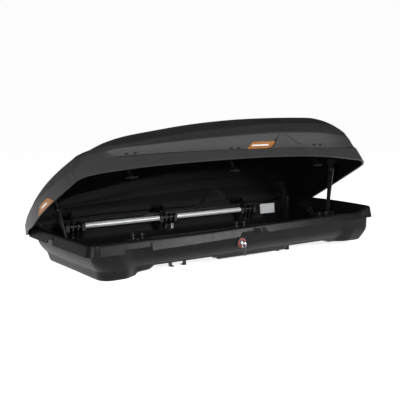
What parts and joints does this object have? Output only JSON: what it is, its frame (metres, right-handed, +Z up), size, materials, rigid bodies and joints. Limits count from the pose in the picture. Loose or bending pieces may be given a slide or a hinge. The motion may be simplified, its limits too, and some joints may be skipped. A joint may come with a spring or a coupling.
{
  "type": "roof cargo box",
  "caption": "Hard-shell roof cargo box with a side-opening lid on hook latches, lid lifters, turning latch tubes, key locks and crossbar clamps.",
  "frame": {"origin": "centre of the box's plan, on the plane of the moulded bosses that it stands on", "axes": "+X from nose to tail, +Y from the side that is open to the hinged side, +Z up"},
  "size_m": [1.9298, 0.9182, 0.7556],
  "materials": {
    "tray": "black thermoformed sheet, soft gloss",
    "lid": "charcoal sheet, fine-textured satin",
    "casting": "moulded black plastic",
    "black_steel": "black powder coat",
    "steel": "zinc-plated steel",
    "aluminium": "satin anodised extrusion",
    "bronze": "bronze-orange badge, no lettering",
    "plate": "silver-grey printed plate, no text",
    "red": "red lock-position ring",
    "chrome": "polished lock and key metal",
    "mat": "diamond-textured floor mat",
    "fob": "moulded rubber key fob"
  },
  "bodies": {
    "box": {"base_tray": "tray", "floor_mats": "mat", "floor_rails": "black_steel", "latch_housings_far": "casting", "latch_housings_near": "casting", "lifter_track_front": "black_steel", "lifter_track_rear": "black_steel", "lock_barrel_near": "chrome", "lock_barrel_far": "chrome", "lock_nut_near": "steel", "lock_nut_far": "steel", "lock_ring_near": "red", "lock_ring_far": "red", "lock_rosette_near": "casting", "lock_rosette_far": "casting", "rating_plate": "plate", "clamp_plates": "steel"},
    "lid": {"lid_shell": "lid", "lid_hooks_far": "black_steel", "lid_hooks_near": "black_steel", "hook_pins_far": "steel", "hook_pins_near": "steel", "hook_screws_far": "steel", "hook_screws_near": "steel", "side_badge_far": "bronze", "side_badge_near": "bronze", "front_badge": "bronze", "lifter_bracket_front": "black_steel", "lifter_bracket_rear": "black_steel", "lifter_pivot_pin_front": "steel", "lifter_pivot_pin_rear": "steel"},
    "near_latch": {"latch_claws_near": "black_steel", "latch_shaft_near": "aluminium", "latch_tubes_near": "aluminium"},
    "far_latch": {"latch_claws_far": "black_steel", "latch_shaft_far": "aluminium", "latch_tubes_far": "aluminium"},
    "near_lock": {"lock_plug_near": "chrome", "lock_cam_near": "steel", "key": "chrome"},
    "far_lock": {"lock_plug_far": "chrome", "lock_cam_far": "steel"},
    "key_ring": {"key_ring": "chrome", "key_fob": "fob"},
    "rear_lifter": {"lifter_arm_rear": "black_steel", "lifter_foot_pin_rear": "steel"},
    "front_lifter": {"lifter_arm_front": "black_steel", "lifter_foot_pin_front": "steel"},
    "knob_front_near": {"clamp_knob_front_near": "casting", "clamp_spindle_front_near": "steel"},
    "jaw_front_near": {"clamp_jaw_front_near": "black_steel"},
    "knob_front_far": {"clamp_knob_front_far": "casting", "clamp_spindle_front_far": "steel"},
    "jaw_front_far": {"clamp_jaw_front_far": "black_steel"},
    "knob_rear_near": {"clamp_knob_rear_near": "casting", "clamp_spindle_rear_near": "steel"},
    "jaw_rear_near": {"clamp_jaw_rear_near": "black_steel"},
    "knob_rear_far": {"clamp_knob_rear_far": "casting", "clamp_spindle_rear_far": "steel"},
    "jaw_rear_far": {"clamp_jaw_rear_far": "black_steel"}
  },
  "joints": [
    {"name": "lid_hinge", "type": "hinge", "parent": "box", "child": "lid", "pos_m": [0, 0.356, 0.158], "axis": [1, 0, 0], "range_deg": [0, 27.5], "stiffness_Nm_per_rad": 20, "springref_deg": -100.27},
    {"name": "rear_lifter_pivot", "type": "hinge", "parent": "lid", "child": "rear_lifter", "pos_m": [0.863, -0.10015, 0.43604], "axis": [1, 0, 0], "range_deg": [0, 48.32]},
    {"name": "front_lifter_pivot", "type": "hinge", "parent": "lid", "child": "front_lifter", "pos_m": [-0.855, 0.16279, 0.29578], "axis": [1, 0, 0], "range_deg": [-70.94, 0]},
    {"name": "near_latch_turn", "type": "hinge", "parent": "box", "child": "near_latch", "pos_m": [-0.012, -0.324, 0.172], "axis": [1, 0, 0], "range_deg": [0, 105]},
    {"name": "far_latch_turn", "type": "hinge", "parent": "box", "child": "far_latch", "pos_m": [-0.088, 0.324, 0.172], "axis": [1, 0, 0], "range_deg": [0, 105]},
    {"name": "near_lock_turn", "type": "hinge", "parent": "box", "child": "near_lock", "pos_m": [-0.05, -0.36, 0.11], "axis": [0, -1, 0], "range_deg": [0, 90]},
    {"name": "far_lock_turn", "type": "hinge", "parent": "box", "child": "far_lock", "pos_m": [-0.05, 0.36, 0.11], "axis": [0, 1, 0], "range_deg": [0, 90]},
    {"name": "key_ring_swing", "type": "hinge", "parent": "near_lock", "child": "key_ring", "pos_m": [-0.05, -0.407, 0.11], "axis": [1, 0, 0], "range_deg": [-60, 8]},
    {"name": "knob_turn_front_near", "type": "hinge", "parent": "box", "child": "knob_front_near", "pos_m": [-0.36, -0.23, 0.055], "axis": [0, 0, 1], "range_deg": [0, 270]},
    {"name": "jaw_slide_front_near", "type": "slide", "parent": "box", "child": "jaw_front_near", "axis": [0, 0, 1], "range_m": [0, 0.006]},
    {"name": "knob_turn_front_far", "type": "hinge", "parent": "box", "child": "knob_front_far", "pos_m": [-0.36, 0.23, 0.055], "axis": [0, 0, 1], "range_deg": [0, 270]},
    {"name": "jaw_slide_front_far", "type": "slide", "parent": "box", "child": "jaw_front_far", "axis": [0, 0, 1], "range_m": [0, 0.006]},
    {"name": "knob_turn_rear_near", "type": "hinge", "parent": "box", "child": "knob_rear_near", "pos_m": [0.35, -0.23, 0.055], "axis": [0, 0, 1], "range_deg": [0, 270]},
    {"name": "jaw_slide_rear_near", "type": "slide", "parent": "box", "child": "jaw_rear_near", "axis": [0, 0, 1], "range_m": [0, 0.006]},
    {"name": "knob_turn_rear_far", "type": "hinge", "parent": "box", "child": "knob_rear_far", "pos_m": [0.35, 0.23, 0.055], "axis": [0, 0, 1], "range_deg": [0, 270]},
    {"name": "jaw_slide_rear_far", "type": "slide", "parent": "box", "child": "jaw_rear_far", "axis": [0, 0, 1], "range_m": [0, 0.006]}
  ],
  "couplings": [
    {"joint": "rear_lifter_pivot", "follows": "lid_hinge", "ratio": 1.7569},
    {"joint": "front_lifter_pivot", "follows": "lid_hinge", "ratio": -2.5791},
    {"joint": "near_lock_turn", "follows": "near_latch_turn", "ratio": 0.85714},
    {"joint": "far_lock_turn", "follows": "far_latch_turn", "ratio": 0.85714},
    {"joint": "knob_turn_front_near", "follows": "jaw_slide_front_near", "rad_per_m": 785.39},
    {"joint": "knob_turn_front_far", "follows": "jaw_slide_front_far", "rad_per_m": 785.39},
    {"joint": "knob_turn_rear_near", "follows": "jaw_slide_rear_near", "rad_per_m": 785.39},
    {"joint": "knob_turn_rear_far", "follows": "jaw_slide_rear_far", "rad_per_m": 785.39}
  ]
}
